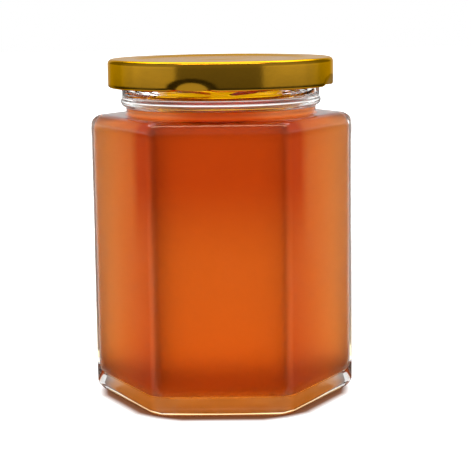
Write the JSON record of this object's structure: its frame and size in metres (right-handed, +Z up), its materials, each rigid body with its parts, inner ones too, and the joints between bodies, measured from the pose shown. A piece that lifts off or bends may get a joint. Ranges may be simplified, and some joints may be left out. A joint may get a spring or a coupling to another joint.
{
  "type": "honey jar",
  "caption": "Hexagonal clear glass jar of amber honey, filled to the neck and closed by a round gold metal lug lid.",
  "frame": {"origin": "middle of the base, on the surface that the jar stands on", "axes": "+Z up along the jar's axis, -Y out of the flat side that faces the front, +X to the right through an upright corner"},
  "size_m": [0.0768, 0.0672, 0.0994],
  "materials": {
    "clear_glass": "clear, smooth, moulded soda-lime glass",
    "amber_honey": "clear amber liquid, glossy surface",
    "gold_lacquer": "gold lacquer on tinplate, glossy"
  },
  "bodies": {
    "root": {"glass_jar": "clear_glass", "honey": "amber_honey", "lid": "gold_lacquer"}
  },
  "joints": []
}
